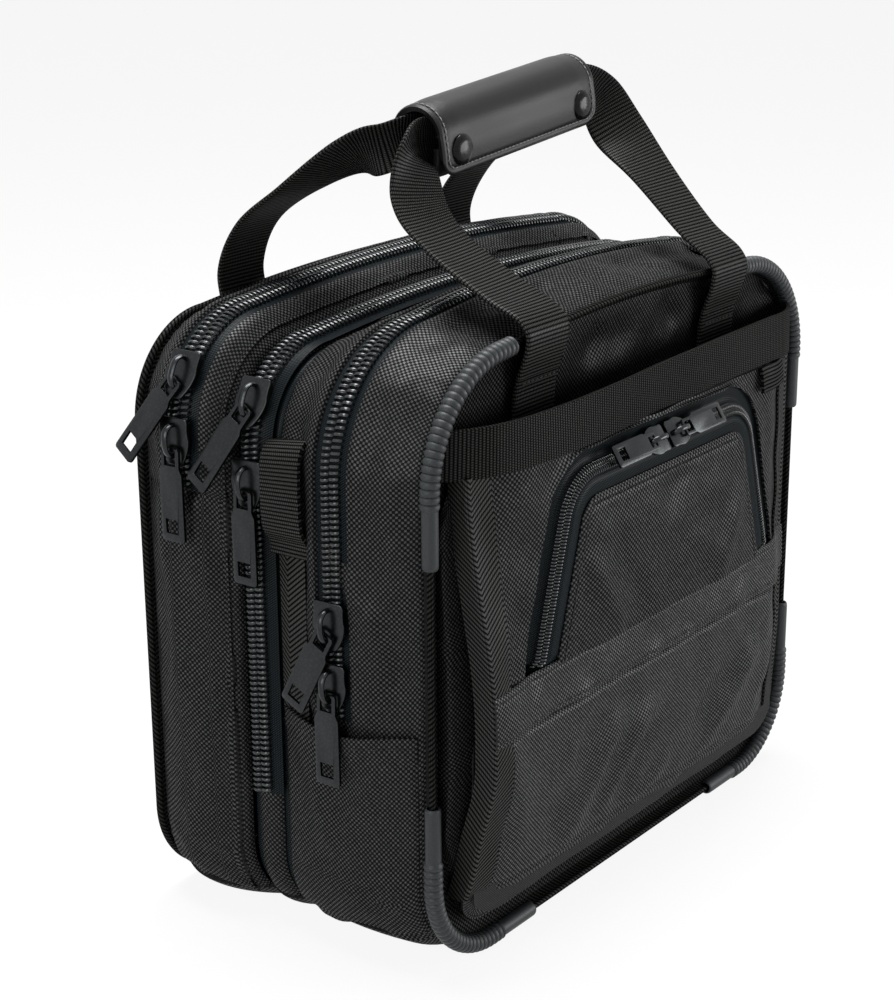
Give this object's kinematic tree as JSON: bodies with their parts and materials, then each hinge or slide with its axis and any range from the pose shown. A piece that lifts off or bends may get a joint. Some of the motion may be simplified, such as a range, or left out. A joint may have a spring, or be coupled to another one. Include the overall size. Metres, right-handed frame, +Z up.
{
  "type": "flight bag",
  "caption": "Soft-sided black flight bag with zipped compartments, ribbed rubber corner guards, a front pocket and a snap-wrapped carry handle.",
  "frame": {"origin": "centre of the flat base, on the surface it stands on", "axes": "+Z up, -Y the front panel's side, +X the bag's right seen from behind it"},
  "size_m": [0.35, 0.1893, 0.3782],
  "materials": {
    "ballistic_nylon": "coarse basket weave, matte",
    "divider_lining": "smooth lining, matte",
    "webbing": "ribbed webbing, matte",
    "zip_coil": "nylon coil, satin",
    "guard_rubber": "satin",
    "grip_leather": "satin, fine grain",
    "gunmetal": "dark satin"
  },
  "bodies": {
    "bag": {"base_panel": "ballistic_nylon", "front_divider": "divider_lining", "front_gusset_left": "ballistic_nylon", "front_gusset_right": "ballistic_nylon", "front_handle": "webbing", "front_panel": "ballistic_nylon", "front_piping": "webbing", "front_top_strip": "ballistic_nylon", "front_zip": "zip_coil", "guard_bottom_left": "guard_rubber", "guard_bottom_right": "guard_rubber", "guard_top_left": "guard_rubber", "guard_top_right": "guard_rubber", "middle_gusset_left": "ballistic_nylon", "middle_gusset_right": "ballistic_nylon", "middle_zip_left": "zip_coil", "middle_zip_right": "zip_coil", "pocket_band": "webbing", "pocket_face": "ballistic_nylon", "pocket_hem": "webbing", "pocket_lining": "ballistic_nylon", "pocket_wall": "ballistic_nylon", "pocket_zip": "zip_coil", "rear_divider": "divider_lining", "rear_gusset_left": "ballistic_nylon", "rear_gusset_right": "ballistic_nylon", "rear_handle": "webbing", "rear_panel": "ballistic_nylon", "rear_piping": "webbing", "rear_top_strip": "ballistic_nylon", "rear_zip": "zip_coil", "side_loop_left": "webbing", "side_loop_right": "webbing", "side_pocket_left": "ballistic_nylon", "side_pocket_right": "ballistic_nylon"},
    "front_mouth": {"front_mouth_flap": "ballistic_nylon"},
    "middle_mouth": {"middle_mouth_flap": "zip_coil"},
    "rear_mouth": {"rear_mouth_flap": "ballistic_nylon"},
    "pocket_flap_body": {"pocket_flap": "ballistic_nylon"},
    "grip": {"grip_wrap": "grip_leather"},
    "grip_flap_body": {"grip_flap": "grip_leather", "snap_cap_left": "gunmetal", "snap_cap_right": "gunmetal"},
    "slider_front_upper_body": {"slider_front_upper": "gunmetal"},
    "pull_front_upper_body": {"pull_front_upper": "gunmetal"},
    "slider_front_lower_body": {"slider_front_lower": "gunmetal"},
    "pull_front_lower_body": {"pull_front_lower": "gunmetal"},
    "slider_middle_upper_body": {"slider_middle_upper": "gunmetal"},
    "pull_middle_upper_body": {"pull_middle_upper": "gunmetal"},
    "slider_middle_lower_body": {"slider_middle_lower": "gunmetal"},
    "pull_middle_lower_body": {"pull_middle_lower": "gunmetal"},
    "slider_rear_upper_body": {"slider_rear_upper": "gunmetal"},
    "pull_rear_upper_body": {"pull_rear_upper": "gunmetal"},
    "slider_rear_lower_body": {"slider_rear_lower": "gunmetal"},
    "pull_rear_lower_body": {"pull_rear_lower": "gunmetal"},
    "slider_pocket_left_body": {"slider_pocket_left": "gunmetal"},
    "pull_pocket_left_body": {"pull_pocket_left": "gunmetal"},
    "slider_pocket_right_body": {"slider_pocket_right": "gunmetal"},
    "pull_pocket_right_body": {"pull_pocket_right": "gunmetal"}
  },
  "joints": [
    {"name": "front_mouth_hinge", "type": "hinge", "parent": "bag", "child": "front_mouth", "pos_m": [0, 0.00505, 0.27702], "axis": [-1, 0, 0], "range_deg": [0, 75]},
    {"name": "middle_mouth_hinge", "type": "hinge", "parent": "bag", "child": "middle_mouth", "pos_m": [0, 0.02405, 0.27788], "axis": [-1, 0, 0], "range_deg": [0, 70]},
    {"name": "rear_mouth_hinge", "type": "hinge", "parent": "bag", "child": "rear_mouth", "pos_m": [0, 0.07715, 0.28226], "axis": [-1, 0, 0], "range_deg": [0, 60]},
    {"name": "pocket_flap_hinge", "type": "hinge", "parent": "bag", "child": "pocket_flap_body", "pos_m": [0, -0.0955, 0.13635], "axis": [1, 0, 0], "range_deg": [0, 110]},
    {"name": "handle_drop", "type": "slide", "parent": "bag", "child": "grip", "axis": [0, 0, 1], "range_m": [-0.036, 0], "stiffness_N_per_m": 80, "springref_m": 0.012, "deforming": ["front_handle", "rear_handle"]},
    {"name": "grip_flap_hinge", "type": "hinge", "parent": "grip", "child": "grip_flap_body", "pos_m": [-0.0007, -0.015, 0.35897], "axis": [-0.9962, 0, -0.0872], "range_deg": [0, 120]},
    {"name": "front_upper_slide", "type": "slide", "parent": "bag", "child": "slider_front_upper_body", "axis": [0, 0, 1], "range_m": [0, 0.06]},
    {"name": "front_lower_slide", "type": "slide", "parent": "bag", "child": "slider_front_lower_body", "axis": [0, 0, 1], "range_m": [-0.008, 0]},
    {"name": "middle_lower_slide", "type": "slide", "parent": "bag", "child": "slider_middle_lower_body", "axis": [0, 0, 1], "range_m": [-0.12, 0]},
    {"name": "rear_lower_slide", "type": "slide", "parent": "bag", "child": "slider_rear_lower_body", "axis": [0, 0, 1], "range_m": [-0.012, 0]},
    {"name": "middle_upper_travel", "type": "hinge", "parent": "bag", "child": "slider_middle_upper_body", "pos_m": [-0.1175, 0.0155, 0.2325], "axis": [0, 1, 0], "range_deg": [0, 55]},
    {"name": "rear_upper_travel", "type": "hinge", "parent": "bag", "child": "slider_rear_upper_body", "pos_m": [-0.11891, 0.05, 0.23637], "axis": [0, 1, 0], "range_deg": [0, 45]},
    {"name": "front_upper_pull", "type": "hinge", "parent": "slider_front_upper_body", "child": "pull_front_upper_body", "pos_m": [-0.16553, -0.029, 0.1588], "axis": [0, 0.8829, 0.4695], "range_deg": [0, 110]},
    {"name": "front_lower_pull", "type": "hinge", "parent": "slider_front_lower_body", "child": "pull_front_lower_body", "pos_m": [-0.16553, -0.029, 0.1308], "axis": [0, 1, 0], "range_deg": [0, 95]},
    {"name": "middle_upper_pull", "type": "hinge", "parent": "slider_middle_upper_body", "child": "pull_middle_upper_body", "pos_m": [-0.16099, 0.0155, 0.25061], "axis": [0.2095, 0.8829, 0.4201], "range_deg": [0, 110]},
    {"name": "middle_lower_pull", "type": "hinge", "parent": "slider_middle_lower_body", "child": "pull_middle_lower_body", "pos_m": [-0.1645, 0.0155, 0.2138], "axis": [0, 1, 0], "range_deg": [0, 95]},
    {"name": "rear_upper_pull", "type": "hinge", "parent": "slider_rear_upper_body", "child": "pull_rear_upper_body", "pos_m": [-0.1669, 0.05, 0.25878], "axis": [0.2386, 0.866, 0.4394], "range_deg": [0, 110]},
    {"name": "rear_lower_pull", "type": "hinge", "parent": "slider_rear_lower_body", "child": "pull_rear_lower_body", "pos_m": [-0.17178, 0.05, 0.2288], "axis": [0, 1, 0], "range_deg": [0, 95]},
    {"name": "pocket_left_slide", "type": "slide", "parent": "pocket_flap_body", "child": "slider_pocket_left_body", "axis": [1, 0, 0], "range_m": [-0.03, 0]},
    {"name": "pocket_right_slide", "type": "slide", "parent": "pocket_flap_body", "child": "slider_pocket_right_body", "axis": [1, 0, 0], "range_m": [0, 0.03]},
    {"name": "pocket_left_pull", "type": "hinge", "parent": "slider_pocket_left_body", "child": "pull_pocket_left_body", "pos_m": [-0.01356, -0.0982, 0.22005], "axis": [0, 0.5446, 0.8387], "range_deg": [0, 100]},
    {"name": "pocket_right_pull", "type": "hinge", "parent": "slider_pocket_right_body", "child": "pull_pocket_right_body", "pos_m": [0.01156, -0.0982, 0.22005], "axis": [0, -0.5446, -0.8387], "range_deg": [0, 100]}
  ]
}
